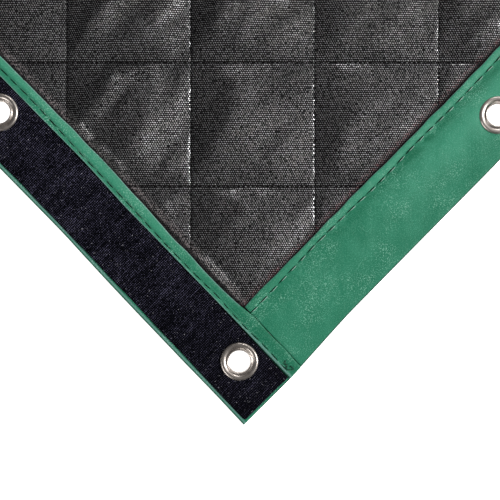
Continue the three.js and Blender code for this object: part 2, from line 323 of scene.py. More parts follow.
class Amount:
    """One number in a material. The operators on it add the Math nodes that work the expression out."""

    __add__ = __radd__ = by_node("ADD")
    __mul__ = __rmul__ = by_node("MULTIPLY")
    __sub__ = by_node("SUBTRACT")
    __pow__ = by_node("POWER")

    def __init__(self, finish, socket):
        self.finish, self.socket = finish, socket

    def __rsub__(self, other):
        return self * -1.0 + other

    def worked(self, operation, *others):
        values = {0: self, **{k + 1: other for k, other in enumerate(others)}}
        return self.finish.node("ShaderNodeMath", {"operation": operation}, values)

    def sine(self):
        return self.worked("SINE")

    def held(self):
        """The number kept between 0 and 1."""
        return self.worked("MAXIMUM", 0.0).worked("MINIMUM", 1.0)

    def between(self, low, high):
        """0 below low, 1 above high and a smooth rise between."""
        settings = {"interpolation_type": "SMOOTHSTEP"}
        return self.finish.node("ShaderNodeMapRange", settings, {"Value": self, 1: low, 2: high})


class Finish:
    """A material with a Principled BSDF, and the ways to add nodes to it."""

    def __init__(self, name, **plain):
        self.material = bpy.data.materials.new(name)
        self.material.use_nodes = True
        self.tree = self.material.node_tree
        self.shader = next(n for n in self.tree.nodes if n.type == "BSDF_PRINCIPLED")
        for socket, value in plain.items():
            self.shader.inputs[socket.replace("_", " ")].default_value = value

    def join(self, socket, value):
        if isinstance(value, Amount):
            self.tree.links.new(value.socket, socket)
        else:
            socket.default_value = value

    def node(self, kind, settings, values, output=0):
        """A node of this kind. Its settings are set first, then the values or links of its inputs."""
        made = self.tree.nodes.new(kind)
        for setting, value in settings.items():
            setattr(made, setting, value)
        for socket, value in values.items():
            self.join(made.inputs[socket], value)
        return Amount(self, made.outputs[output])

    def place(self, turn=0.0, stretch=(1.0, 1.0, 1.0)):
        """The place on the piece, turned about Z and stretched."""
        here = self.node("ShaderNodeTexCoord", {}, {}, "Object")
        settings = {"Vector": here, "Rotation": (0, 0, turn), "Scale": stretch}
        return self.node("ShaderNodeMapping", {}, settings)

    def part(self, vector, which):
        return self.node("ShaderNodeSeparateXYZ", {}, {0: vector}, which)

    def kept(self, name):
        """The number that the piece keeps at each point."""
        return self.node("ShaderNodeAttribute", {"attribute_name": name}, {}, 2)

    def noise(self, vector, scale, detail=2.0, rough=0.5):
        values = {"Vector": vector, "Scale": scale, "Detail": detail, "Roughness": rough}
        return self.node("ShaderNodeTexNoise", {}, values)

    def mixed(self, share, low, high):
        """A colour between two others."""
        colours = {0: share, 6: low, 7: high}
        return self.node("ShaderNodeMix", {"data_type": "RGBA"}, colours, 2)

    def ends(self, colour, roughness, height, depth):
        """The worked-out colour, roughness and relief put into the shader."""
        bump = self.node("ShaderNodeBump", {}, {"Distance": depth, "Height": height})
        for socket, value in (("Base Color", colour), ("Roughness", roughness), ("Normal", bump)):
            self.join(self.shader.inputs[socket], value)
        return self.material


def shade(red, green, blue):
    """A screen colour of 0 to 255 as the linear colour that materials take."""
    parts = [v / 255 for v in (red, green, blue)]
    return *(v / 12.92 if v <= 0.04045 else ((v + 0.055) / 1.055) ** 2.4 for v in parts), 1.0


# The pitch of the quilt's ribs and of its yarns, in metres
RIB_PITCH = 0.00172
YARN_PITCH = 0.0019


def quilt_cloth():
    """Black woven cloth in ribs that follow the rows. Its yarns float over the ribs, half a pitch further on
    from rib to rib and unevenly, as fine noise, and shine like foil. The rest is dull black. Pale grey dots
    lie along the short bindings and red-brown lint along the long ones, and a painted shadow makes the
    cloth darkest beside them."""
    finish = Finish("quilt_cloth", Specular_IOR_Level=0.1)
    cloth = finish.place(turn=math.radians(45))
    across, up = finish.part(cloth, 0), finish.part(cloth, 1)
    drift = finish.noise(cloth, 45.0) - 0.5
    rib = (up * (math.tau / RIB_PITCH) + drift * 2.0).sine() * 0.5 + 0.5
    staggered = across * (math.tau / YARN_PITCH) + up * (math.tau / (2 * RIB_PITCH))
    yarn = (staggered + drift * 6.0).sine() * 0.4 + 0.6
    uneven = finish.noise(finish.place(math.radians(45), (0.8, 1.2, 1.0)), 640.0, 2.0, 0.6)
    broad = finish.noise(cloth, 26.0, 3.0, 0.6)
    floats = (rib * yarn * 6.4 + (uneven - 0.5) * 12.0 + (broad - 0.5) * 1.4 - 3.6).held() ** 2.0
    cloth_colour = finish.mixed(floats, shade(18, 18, 19), shade(184, 184, 185))
    from_short, from_long = finish.kept("from_short"), finish.kept("from_long")
    # Pale grey dots along the short bindings, mixed into the colour and without shine.
    fluff = (1.0 - from_short.between(0.067, 0.0745)) * uneven.between(0.46, 0.6)
    lint = (1.0 - from_long.between(0.0675, 0.0725)) * uneven.between(0.5, 0.62)
    # Painted shadow: just inside the folds of the bindings the cloth is painted near black and loses its
    # shine, where the folds' shade falls.
    shadow = (1.0 - from_short.between(0.0655, 0.068)) + (1.0 - from_long.between(0.0655, 0.0685))
    dotted = finish.mixed(fluff * 0.8, cloth_colour, shade(120, 110, 110))
    reddened = finish.mixed(lint * 0.8, dotted, shade(84, 38, 44))
    colour = finish.mixed(shadow.held() * 0.85, reddened, shade(5, 4, 5))
    creases = finish.noise(finish.place(math.radians(-8), (1.0, 0.35, 1.0)), 90.0, 3.0, 0.6)
    finish.join(finish.shader.inputs["Metallic"], floats * 0.95 * (1.0 - (lint + fluff + shadow).held()))
    return finish.ends(colour, 0.56 - floats * 0.28, floats * 0.12 + creases * 1.2, 0.0004)


quilt = quilted_panel()
quilt.data.materials.append(quilt_cloth())
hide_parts("quilted_panel")

# The quilting thread is black and pulled down into the cloth. Its rows and its columns are one piece each, a
# stitch every 4 mm, and the stitches end where the panel goes into the bindings.
STITCH_PITCH = 4.0
STITCH_LENGTH = 4.3
STITCH_HALF = 0.38


def beads(starts, ends, half, lift, levels=2):
    """Stitches as spindles from starts to ends, with a square section that grows and shrinks as the sine of
    the way along to the power 0.4, and their middles lifted."""
    count = len(starts)
    way = ends - starts
    length = np.linalg.norm(way, axis=1, keepdims=True)
    ahead = way / length
    sideways = np.stack([-ahead[:, 1], ahead[:, 0], np.zeros(count)], axis=-1)
    sideways /= np.linalg.norm(sideways, axis=1, keepdims=True)
    upward = np.cross(ahead, sideways)
    rings = [starts[:, None]]
    for level in range(1, levels + 1):
        share = level / (levels + 1)
        swell = math.sin(math.pi * share) ** 0.4
        middle = starts + way * share + np.array([0, 0, lift * math.sin(math.pi * share)])
        turns = [(1, 0), (0, 1), (-1, 0), (0, -1)]
        ring = [middle + half * swell * (s * sideways + u * upward) for s, u in turns]
        rings.append(np.stack(ring, axis=1))
    rings.append(ends[:, None])
    points = np.concatenate(rings, axis=1)
    last = 4 * levels + 1
    pattern = [(0, 1 + (k + 1) % 4, 1 + k) for k in range(4)]
    for level in range(levels - 1):
        base, over = 1 + 4 * level, 5 + 4 * level
        for k in range(4):
            near, next_one = base + k, base + (k + 1) % 4
            pattern += [(near, next_one, over + (k + 1) % 4), (near, over + (k + 1) % 4, over + k)]
    base = 1 + 4 * (levels - 1)
    pattern += [(last, base + k, base + (k + 1) % 4) for k in range(4)]
    faces = np.array(pattern)[None] + (np.arange(count) * (last + 1))[:, None, None]
    return points.reshape(-1, 3), faces.reshape(-1, 3)


def seam_stitches(name, along_rows):
    """Stitches along all seams of one direction, a little crooked, each set into the crease of its seam."""
    lines = np.arange(-11, 22)
    steps = np.arange(-1300, 2300, STITCH_PITCH)
    line, step = (grid.ravel() for grid in np.meshgrid(lines, steps, indexing="ij"))
    draw = np.random.default_rng(17 if along_rows else 23)
    off = draw.uniform(-0.35, 0.35, (2, line.size))
    short = draw.uniform(0.8, 1.05, line.size) * STITCH_LENGTH / 2
    ends = []
    for side, shift in ((-1, off[0]), (1, off[1])):
        if along_rows:
            right, away = step + side * short, SEAM_UP + line * PITCH + shift
        else:
            right, away = SEAM_ACROSS + line * PITCH + shift, step + side * short
        x, y = from_seams(right, away)
        ends.append(np.stack([x, y, panel_top(right, away) + 0.3], axis=-1))
    middle = (ends[0] + ends[1]) / 2
    shown = inset_at(middle[:, 0], middle[:, 1]) > FREE_INSET + 1
    points, faces = beads(ends[0][shown], ends[1][shown], STITCH_HALF, 0.34)
    return make_piece(name, points, faces)


def thread_finish(name, colour, roughness=0.5, shine=0.5):
    """Twisted polyester thread, with a fine stripe along its twist."""
    finish = Finish(name, Specular_IOR_Level=shine)
    twist = finish.part(finish.place(math.radians(30)), 0)
    stripe = (twist * (math.tau / 0.0006)).sine() * 0.5 + 0.5
    dark = tuple(0.55 * v for v in colour[:3]) + (1.0,)
    return finish.ends(finish.mixed(stripe, dark, colour), roughness - stripe * 0.08, stripe, 0.00005)


quilting_thread = thread_finish("quilting_thread", shade(4, 4, 5), 0.9, 0.1)
for name, along_rows in (("quilting_rows", True), ("quilting_columns", False)):
    seams = seam_stitches(name, along_rows)
    seams.data.materials.append(quilting_thread)

# The four bindings are strips of green coated cloth, folded over the panel's edge and sewn down near the
# inner fold. The short ones run through to the corners, and the long ones are butted against them.
BUTT_INSET = 64.3
SHORT_SIDE = {"out": HALF_LENGTH, "run": HALF_WIDTH, "to_corner": True}
LONG_SIDE = {"out": HALF_WIDTH, "run": HALF_LENGTH - BUTT_INSET, "to_corner": False}
# How far the ends of the long bindings reach past their run
PAST_RUN = {"near": -2.4, "other": 0.27}
SIDES = {
    "left": {**SHORT_SIDE, "inward": (1, 0), "along": (0, -1), "taped": True},
    "right": {**SHORT_SIDE, "inward": (-1, 0), "along": (0, 1), "taped": False},
    "lower": {**LONG_SIDE, "inward": (0, 1), "along": (1, 0), "taped": False},
    "upper": {**LONG_SIDE, "inward": (0, -1), "along": (-1, 0), "taped": False},
}
BINDING_STITCH = 11.5
# How far in the stitches lie, on the taped binding and on the others
STITCH_INSET = {True: 55.45, False: 58.85}
EYELET_INSET = {"corner": 33.0, "taped": 31.2, "plain": 25.4}
PUNCH_RADIUS = 11.4

# Front of a binding, from its inner fold outwards: inset and height
PLAIN_FRONT = [
    (63.9, 4.8), (63.97, 5.2), (63.85, 5.62), (63.5, 5.9), (63.0, 6.02), (62.3, 5.96), (61.5, 5.78),
    (60.7, 5.54), (60.0, 5.24), (59.5, 4.92), (59.1, 4.62), (58.85, 4.48), (58.6, 4.44), (58.3, 4.5),
    (57.8, 4.6), (57.0, 4.7), (56.0, 4.8), (54.8, 4.9), (53.6, 4.99), (52.2, 5.07), (50.6, 5.12),
    (49, 5.14),
]
TAPED_FRONT = [
    (63.9, 4.75), (63.95, 5.1), (63.75, 5.5), (63.3, 5.86), (62.7, 6.14), (61.9, 6.36), (60.9, 6.52),
    (59.9, 6.62), (58.9, 6.66), (57.9, 6.62), (57.2, 6.54), (56.7, 6.44), (56.3, 6.34), (56.0, 6.25),
    (55.7, 6.18), (55.45, 6.15), (55.2, 6.17), (54.9, 6.24), (54.6, 6.32), (54.3, 6.4), (53.95, 6.5),
    (53.6, 6.56), (53.3, 6.5), (53.2, 6.3), (53.25, 6.14), (53.5, 6.08), (53.9, 6.04), (54.0, 5.8),
    (54.0, 4.6), (53.8, 4.0), (53.2, 3.9), (51.0, 3.9),
]
# Where sewing left the edges of the two bindings at the near corner: distance from the corner, and how far
# an edge lies in from where it would be in a straight strip
FOLD_WANDER = {
    "left": [
        (0, 2.8), (61, 2.8), (66, 1.4), (76, 0), (94, -0.8), (160, -0.9), (176, 0.2), (232, 1.5),
        (290, 0.8),
    ],
    "lower": [(0, 1.6), (74, 2.1), (110, 2.0), (165, 1.5), (210, 1.2), (250, 0.5), (290, 0.1), (330, 0.3)],
}
CUT_EDGE_WANDER = {
    "left": [(0, 1.0), (50, 0.6), (95, 0), (150, -0.6), (194, -1.2), (244, 0.2), (300, -0.5), (360, -0.9)],
}
OUTER_WANDER = {
    "left": [
        (0, -0.2), (34, -0.2), (70, -0.9), (130, -1.3), (160, -1.2), (194, -0.7), (214, -0.2), (300, -1.1),
    ],
    "lower": [
        (0, -0.9), (34, -1.4), (50, -2.2), (74, -1.6), (94, -0.9), (124, 0), (184, -0.7), (284, -1.8),
    ],
}
# How far the left binding and its tape reach past the corner, by inset
PAST_CORNER = [(0, 0.9), (34, 1.4), (50, 2.2), (67, 1.8)]
STITCH_WANDER = {
    "left": [
        (0, 1.0), (36, 1.1), (56, 0.3), (70, 0), (85, 1.2), (100, 0.8), (115, -0.2), (150, -0.4),
        (200, 0.1), (245, 0.3), (265, 0.8), (285, 1.6), (305, 2.0), (330, 2.4),
    ],
    "lower": [
        (0, 0.5), (50, 0.2), (80, 0.1), (125, 0.6), (145, 1.0), (170, 0.4), (190, 0), (205, -1.1),
        (235, -1.6), (250, -0.8), (275, -0.9), (295, -1.5), (340, -2.0),
    ],
}
# The rest of the way round: the flat face, the outer fold, the back, and the inside of the fold
FLAT_INSETS = [
    48, 45.4, 43, 40.5, 38, 35.5, 33, 30, 27, 24, 21, 18, 15, 12, 9.5, 7.5, 5.5, 4, 2.8, 2.0, 1.4,
]
OUTER_FOLD = [
    (0.9, 3.86), (0.45, 3.72), (0.15, 3.46), (0.0, 3.1), (0.0, 2.3), (0.2, 1.8), (0.6, 1.45), (1.2, 1.32),
]
BACK = [
    (3, 1.3), (12, 1.3), (26, 1.3), (42, 1.3), (56, 1.3), (63, 1.3), (63.8, 1.42), (64, 1.75), (63.8, 2.1),
]
INSIDE = [
    (63, 2.2), (56, 2.2), (42, 2.15), (26, 2.1), (8, 2.1), (2.2, 2.2), (1.6, 2.55), (2.2, 2.95), (8, 3.0),
    (26, 3.0), (42, 3.0), (51, 3.1), (53.8, 3.5), (54.6, 4.25), (56.5, 4.32), (63.2, 4.36),
]


def on_side(side, inset, at):
    """x and y of a distance in from a side's outer edge and a place along it from its middle."""
    depth = inset - side["out"]
    (in_x, in_y), (on_x, on_y) = side["inward"], side["along"]
    return drawn_in(in_x * depth + on_x * at, in_y * depth + on_y * at)


def eyelet_places(side):
    """The places along a side and the insets of its eyelets. Those in a corner lie further in."""
    if side["to_corner"]:
        row = np.linspace(-567, 567, 5)
        kinds = ["corner"] + ["taped" if side["taped"] else "plain"] * 3 + ["corner"]
        return [(at, EYELET_INSET[kind]) for at, kind in zip(row, kinds)]
    return [(at, EYELET_INSET["plain"]) for at in np.linspace(-880, 880, 7)[1:-1]]


def away_from_eyelets(side, inset, at):
    """0 within 15 mm of an eyelet's middle, 1 from 30 mm."""
    clear = np.ones(np.broadcast(inset, at).shape)
    for eye_at, eye_inset in eyelet_places(side):
        clear = np.minimum(clear, smooth(15, 30, np.hypot(inset - eye_inset, at - eye_at)))
    return clear


def places_along(name, first, last):
    """Places from end to end of a side, crowded in the last 2 mm, 1.6 mm apart in the 360 mm next to the
    near corner, and about 5 mm apart elsewhere."""
    ends = np.array([0, 0.2, 0.5, 1.0, 1.8])
    length = last - first
    fine = 360 if name in ("left", "lower") else 4
    middle = np.append(np.arange(3, fine, 1.6), np.linspace(fine, length - 3, round((length - fine) / 5)))
    steps = np.concatenate([ends, middle, length - ends[::-1]])
    return last - steps[::-1] if name == "left" else first + steps


def wander(table, name, from_corner, seed):
    """How far an edge strays: the table's values near the corner, joined and smoothed, then a ripple."""
    far = smooth(290, 420, from_corner)
    soft = 0.7 * ripple(from_corner, 0 * from_corner, 85, seed)
    if name not in table:
        return soft
    distances, values = zip(*table[name])
    steps = np.arange(-400, 2200, 2.0)
    line = np.interp(steps, distances, values)
    line = np.convolve(np.pad(line, 4, mode="edge"), np.ones(9) / 9, mode="valid")
    return np.interp(from_corner, steps, line) * (1 - far) + soft * far


def from_near_corner(name, side, place):
    """How far a place along a side is from a corner, on the left and the lower side from the near one."""
    return side["run"] + place * (1 if name == "lower" else -1) + (0 if side["to_corner"] else BUTT_INSET)


def stitch_strays(name, side, place):
    """How far the stitches of a side stray inwards from their straight line."""
    return wander(STITCH_WANDER, name, from_near_corner(name, side, place), 40)


def pressed_round(side, inset, at):
    """How deep the cloth is pressed down in a ring round each eyelet's flange: a bell curve across it."""
    depth = np.zeros(np.broadcast(inset, at).shape)
    for eye_at, eye_inset in eyelet_places(side):
        depth += np.exp(-(((np.hypot(inset - eye_inset, at - eye_at) - 16.4) / 1.5) ** 2))
    return depth


def past_corner(name, inset, place):
    """The place along the side, moved on by what PAST_CORNER gives near the end of the left binding."""
    if name != "left":
        return place
    insets, past = zip(*PAST_CORNER)
    return place + np.interp(inset, insets, past) * smooth(HALF_WIDTH - 30, HALF_WIDTH - 2, place)


def stitch_phase(side, at):
    """How far along its stitch a place is, from 0 to 1."""
    return np.mod((at + side["run"]) / BINDING_STITCH, 1.0)


def coated_cloth(name, deep, light, speck):
    """Green coated cloth: a close weave under a satin skin, with fine pale specks in patches that are
    painted glints, uneven in tone, and made paler and darker by the painted light and shade that the piece
    keeps."""
    finish = Finish(name, Specular_IOR_Level=0.32)
    here = finish.place()
    weave = finish.place(math.radians(45))
    twill = (finish.part(weave, 0) * (math.tau / 0.0011)).sine() * 0.5 + 0.5
    over = (finish.part(weave, 1) * (math.tau / 0.0009)).sine() * 0.5 + 0.5
    grain = finish.noise(here, 1250.0, 1.0)
    # Painted highlights: the pale specks stand for glints on the coated cloth, more in some patches.
    specks = grain.between(0.55, 0.68)
    slanted = finish.place(math.radians(45), (1.0, 1.6, 1.0))
    patches = finish.noise(slanted, 22.0, 3.0, 0.6).between(0.44, 0.64)
    tone = finish.noise(here, 60.0, 4.0, 0.6)
    # How far the cloth goes towards the light colour: random tone and grain, plus the painted light and
    # shade.
    paleness = ((tone - 0.5) * 0.7 + (grain - 0.5) * 0.9 + finish.kept("painted_light_and_shade") + 0.42).held()
    cloth = finish.mixed(paleness, shade(*deep), shade(*light))
    colour = finish.mixed(specks * (patches * 0.6 + 0.1), cloth, shade(*speck))
    roughness = 0.5 + (tone - 0.5) * 0.16 - specks * 0.08
    height = twill * 0.3 + over * 0.3 + specks * 0.4 + tone * 1.8
    return finish.ends(colour, roughness, height, 0.00012)


binding_cloth = coated_cloth("binding_cloth", (8, 102, 72), (54, 140, 110), (140, 196, 172))
# The pale edge: a raw cut edge and a paler border, and a painted highlight along each inner fold.
pale_edge = coated_cloth("binding_worn_edge", (66, 120, 108), (116, 158, 146), (160, 192, 182))
# Painted shade: a dark green for the outer fold's steep side, where shade falls.
painted_shade_edge = coated_cloth("binding_painted_shade", (10, 52, 40), (30, 84, 66), (60, 120, 100))


def spread(section, at):
    """The two columns of a section, and the place, for each point of it at each place."""
    inset, height = (np.repeat(section[None, :, k], len(at), axis=0) for k in (0, 1))
    return inset, height, np.repeat(at[:, None], len(section), axis=1)


def carried_faces(count, size):
    """The faces of a closed section of size points, carried along in count rings, and its two caps."""
    number = np.arange(count * size).reshape(count, size)
    following = np.roll(number, -1, axis=1)
    faces = np.stack([number[:-1], following[:-1], following[1:], number[1:]], axis=-1).reshape(-1, 4)
    return faces.tolist() + [number[0][::-1].tolist(), number[-1].tolist()]


def folded_binding(name, side):
    """The section of a folded strip carried along its side. Inner fold and stitch line wander, the face
    puckers from the stitch line outwards, each stitch end pulls in, and the ridge sinks towards an outer
    corner. Each point keeps the painted light and shade of the cloth there: paler above zero, darker below."""
    taped = side["taped"]
    front = np.array(TAPED_FRONT if taped else PLAIN_FRONT)
    flat_insets = np.array(FLAT_INSETS)
    risen = 0 if taped else 1.12 * smooth(14, 47, flat_insets)
    flat = np.stack([flat_insets, 3.9 + risen + 0 * flat_insets], axis=-1)
    section = np.concatenate([front, flat, OUTER_FOLD, BACK, INSIDE])
    first, last = -side["run"], side["run"]
    if not side["to_corner"]:
        first -= PAST_RUN["near" if name == "lower" else "other"]
        last += PAST_RUN["other"]
    at = places_along(name, first, last)
    inset, height, place = spread(section, at)
    on_front = np.arange(len(section)) < len(front) + len(flat_insets)
    on_band = on_front & (inset > 52.5)
    on_cut_edge = on_band & (inset < 55) & (height > 5.9)
    seed = {"left": 3, "right": 5, "lower": 7, "upper": 8}[name]

    band = smooth(46, 64, inset) * on_front
    from_corner = from_near_corner(name, side, place)
    to_end = side["run"] - np.abs(place)
    strays = wander(FOLD_WANDER, name, from_corner, seed) + 0.35 * ripple(place, 0 * place, 30, seed + 1)
    stitch_inset = STITCH_INSET[taped]
    gap = inset - stitch_inset
    reach_of_it = smooth(stitch_inset + 0.8, 63, inset)
    phase = stitch_phase(side, place)
    pull = np.exp(-((np.minimum(phase, 1 - phase) * BINDING_STITCH / 1.5) ** 2))
    if taped:
        far = smooth(70, 210, to_end)
        ramp = np.clip((inset - 57) / 6.5, 0, 1) * on_band
        further = smooth(130, 250, to_end)
        height += (0.4 * far + 0.5 * further) * smooth(55.6, 60, inset) * on_band
        height += 0.75 * (1 - far) * (ramp - 0.5) * (ramp > 0)
        height -= 0.86 * far * ramp * np.maximum(height - 4.8, 0)
        swell = 0.22 * ripple(place, gap, 30, seed + 2) * band
        inset += on_cut_edge * wander(CUT_EDGE_WANDER, name, from_corner, seed + 3)
        height -= on_front * pull * 0.18 * np.exp(-((gap / 1.6) ** 2))
    else:
        reach = np.exp(-np.maximum(-gap, 0) / 9) * (gap < 0)
        slant = place + 0.8 * gap
        pucker = np.sin(math.tau * (slant + 2.8 * ripple(place, gap, 30, seed + 9)) / BINDING_STITCH)
        clear = away_from_eyelets(side, inset, place)
        broad = 0.36 * ripple(place, inset, 62, seed + 5) + 0.15 * ripple(place, inset, 21, seed + 6)
        rim = smooth(1, 12, inset)
        height += on_front * (0.24 * pucker * reach + broad * rim * clear * (inset < 58))
        height -= on_front * pull * 0.32 * np.exp(-((gap / 1.6) ** 2))
        puffed = np.sin(math.tau * phase - 1.2) * smooth(0.5, 2.5, gap) * (1 - smooth(4.2, 5.2, gap))
        swell = (0.3 * ripple(place, gap * 0.5, 34, seed + 2) + 0.12 * puffed) * band
    still, moved = (53.95, 54.6) if taped else (50, 57)
    carried = smooth(still, moved, inset) * (1 - smooth(stitch_inset + 1.6, 63.5, inset))
    inset += strays * reach_of_it * (inset > stitch_inset)
    inset += on_front * carried * stitch_strays(name, side, place)
    height += swell * on_front
    height -= 0.4 * pressed_round(side, inset, place) * on_front * (inset < 50)
    if side["to_corner"]:
        sunk = (1 - smooth(38, 66, to_end)) * on_front * band
        floor_of_it = 5.6 if taped else 3.95
        height -= sunk * 0.6 * np.maximum(height - floor_of_it, 0)
    rounding = 1 - np.clip(np.minimum(place - first, last - place) / 1.1, 0, 1)
    height -= on_front * (1 - np.sqrt(1 - rounding**2))
    on_rim = 1 - smooth(1.5, 14, inset)
    place = past_corner(name, inset, place)
    x, y = on_side(side, inset + on_rim * wander(OUTER_WANDER, name, from_corner, seed + 21), place)
    points = np.stack([x, y, height], axis=-1).reshape(-1, 3)
    strip = make_piece(f"{name}_binding", points, carried_faces(len(at), len(section)))
    # Faces given the pale edge: a painted highlight along the inner fold, the raw cut edge and the paler
    # outer border of the taped binding.
    paleness = (section[:, 0] > 63.2) & (section[:, 1] > 4.9)
    if taped:
        paleness |= (section[:, 0] > 53.1) & (section[:, 0] < 54.1) & (section[:, 1] > 6.1)
        paleness |= (section[:, 0] > 1.1) & (section[:, 0] < 3) & (section[:, 1] > 3.8)
    # Painted shade: the steep outer side of the fold and the two end caps get the dark finish, where shade
    # falls.
    on_shaded_fold = (section[:, 0] < 0.95) & (section[:, 1] > 1.6)
    finish_of_column = np.where(on_shaded_fold & np.roll(on_shaded_fold, -1), 2, np.where(paleness & np.roll(paleness, -1), 1, 0))
    finish_of_face = np.tile(finish_of_column, (len(at) - 1, 1))
    over_butt = taped & (to_end[:-1] < 70) & (section[:, 0] > 60)
    finish_of_face[over_butt] = 0
    finish_of_face = finish_of_face.ravel().tolist() + [2, 2]
    for finish in (binding_cloth, pale_edge, painted_shade_edge):
        strip.data.materials.append(finish)
    strip.data.polygons.foreach_set("material_index", finish_of_face)
    # Painted light and shade on the band from the stitch line to the fold: painted shade near the near
    # corner, painted light further on.
    farther = smooth(15, 230, from_corner)
    painted_light_and_shade = on_front * smooth(stitch_inset, stitch_inset + 2, gap + stitch_inset) * (0.62 * farther - 0.26)
    # On the plain bindings: painted light in the middle of the face far from the corner, and painted shade
    # in streaks just outside the stitch line.
    if not taped:
        streaks = 0.7 + 0.6 * ripple(place + 0.9 * gap, 0.3 * gap, 16, seed + 31)
        painted_light_and_shade += on_front * 0.5 * smooth(170, 310, from_corner) * np.exp(-(((inset - 37) / 14) ** 2))
        painted_shade_depth = 0.1 + 0.34 * smooth(120, 290, from_corner)
        painted_light_and_shade -= on_front * painted_shade_depth * streaks * np.exp(-(((gap + 5) / 5) ** 2))
    keep(strip, "painted_light_and_shade", painted_light_and_shade.ravel())
    return strip


def turned_out(body):
    """Faces turned to point outwards."""
    bmesh.ops.recalc_face_normals(body, faces=body.faces)


def punched(piece, side):
    """The piece with a round hole for each of its side's eyelets, cut by cylinders joined in one tool."""
    tool = bmesh.new()
    for at, inset in eyelet_places(side):
        x, y = on_side(side, inset, at)
        made = bmesh.ops.create_cone(tool, cap_ends=True, segments=40, radius1=PUNCH_RADIUS / 1000,
                                     radius2=PUNCH_RADIUS / 1000, depth=0.04)
        bmesh.ops.translate(tool, verts=made["verts"], vec=(x / 1000, y / 1000, 0))
    mesh = bpy.data.meshes.new("punch")
    tool.to_mesh(mesh)
    tool.free()
    punch = put_in("punch", mesh)
    cut = piece.modifiers.new("holes", "BOOLEAN")
    cut.operation, cut.solver, cut.object = "DIFFERENCE", "EXACT", punch
    shape = bpy.data.meshes.new_from_object(piece.evaluated_get(bpy.context.evaluated_depsgraph_get()))
    piece.modifiers.clear()
    old, piece.data = piece.data, shape
    bpy.data.meshes.remove(old)
    bpy.data.objects.remove(punch)
    piece.data.set_sharp_from_angle(angle=math.radians(50))
    return piece


for name, side in SIDES.items():
    strip = punched(reworked(folded_binding(name, side), turned_out), side)
    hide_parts(f"binding_{name}")

# The loop tape is a black 2 in wide woven tape with a napped face of fine loops. It lies on the left binding
# from end to end, with its inner edge under the edge of the sewn-down fold.
TAPE_OUTER = 3.0
TAPE_INNER = 52.6
TAPE_END = 2.2


def loop_tape(side):
    """A flat strip with rounded edges and softly uneven face, its corners cut a little round."""
    outer_edge = [0, 0.15, 0.5, 1.0, 1.8, 3.0, 4.6]
    inner_edge = [45.4, 47.0, 48.2, 49.0, 49.5, 49.8, 49.9]
    across = np.concatenate([outer_edge, np.linspace(6.5, 43.5, 18), inner_edge]) + TAPE_OUTER
    middle, half = (TAPE_OUTER + TAPE_INNER) / 2, (TAPE_INNER - TAPE_OUTER) / 2
    from_edge = half - np.abs(across - middle)
    rounded = np.clip(from_edge / 1.6, 0, 1)
    crown = 5.0 + 0.95 * np.sqrt(rounded * (2 - rounded))
    crown -= 0.45 * smooth(50.6, 52.0, across) + 0.85 * (1 - smooth(3.6, 11, across))
    top = np.stack([across, crown], axis=-1)
    under = np.array([(TAPE_INNER, 4.3), (40, 4.2), (20, 4.2), (TAPE_OUTER, 4.3)])
    section = np.concatenate([top, under])
    end = side["run"] - TAPE_END
    at = places_along("left", -end, end)
    inset, height, place = spread(section, at)
    on_top = np.arange(len(section)) < len(across)
    clear = away_from_eyelets(side, inset, place)
    inner = 1 - smooth(44, 50, inset)
    height -= 0.55 * on_top * pressed_round(side, inset, place)
    uneven = 0.22 * ripple(place, inset, 40, 31) + 0.1 * ripple(place, inset, 14, 32)
    height += on_top * inner * clear * uneven
    past = np.clip((np.abs(place) - end + 3.0) / 3.0, 0, 1)
    corner = np.clip((TAPE_OUTER + 3.0 - inset) / 3.0, 0, 1)
    inset += (inset < TAPE_OUTER + 3) * 1.1 * past**2 * corner
    height -= on_top * 0.5 * past**3
    edge = 0.3 * ripple(place, 0 * place, 46, 33) * (inset < 12) * (1 - smooth(3, 12, inset))
    x, y = on_side(side, inset + edge, past_corner("left", inset, place))
    points = np.stack([x, y, height], axis=-1).reshape(-1, 3)
    return make_piece("tape", points, carried_faces(len(at), len(section)))


def napped_cloth():
    """Blue-black loops in ribs 1.6 mm apart across the tape. Loops that stand up catch the light as fine
    dots, more in some ribs than in others. Towards the near corner they are darker. Small pale specks of
    lint hang in them."""
    finish = Finish("loop_tape_nap", Specular_IOR_Level=0.06)
    here = finish.place()
    along, across = finish.part(here, 1), finish.part(here, 0)
    drift = finish.noise(here, 60.0) - 0.5
    rib = (along * (math.tau / 0.00158) + drift * 1.6).sine() * 0.5 + 0.5
    loop = (across * (math.tau / 0.00148) + drift * 7.0).sine() * 0.4 + 0.6
    rows = finish.noise(finish.place(0, (0.12, 1.0, 1.0)), 260.0, 2.0, 0.6)
    fuzz = finish.noise(finish.place(0, (0.8, 1.2, 1.0)), 700.0, 2.0, 0.6)
    lint = finish.noise(finish.place(0.6, (1.0, 1.5, 1.0)), 640.0, 1.0, 0.4).between(0.72, 0.78)
    patches = finish.noise(here, 34.0, 2.0, 0.6)
    tufts = rib * loop * 1.1 + (fuzz - 0.5) * 2.2
    loops = (tufts + (rows - 0.5) * 0.9 + (patches - 0.5) * 0.9 - 0.58).held()
    # Darker towards the near corner.
    near_corner_share = 1.0 - along.between(-0.6, -0.44)
    napped = finish.mixed(loops * (1.0 - near_corner_share * 0.55), shade(1, 1, 5), shade(108, 105, 132))
    colour = finish.mixed(lint * 0.6, napped, shade(170, 168, 176))
    height = rib * 0.5 + loops * 0.6 + fuzz * 0.5
    return finish.ends(colour, 0.95 - rib * 0.06, height, 0.0003)


tape = punched(reworked(loop_tape(SIDES["left"]), turned_out), SIDES["left"])
tape.data.materials.append(napped_cloth())
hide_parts("loop_tape")

# Lockstitches hold the bindings down, one row near each inner fold. The thread is dark green and lies deep
# in the coated cloth. On the untaped sides short pale ends of it show between the stitches.
STITCH_LIFT = 0.3
CROOKED = 0.2
STITCH_SHARE = 0.5
GLINT_SHARE = 0.66


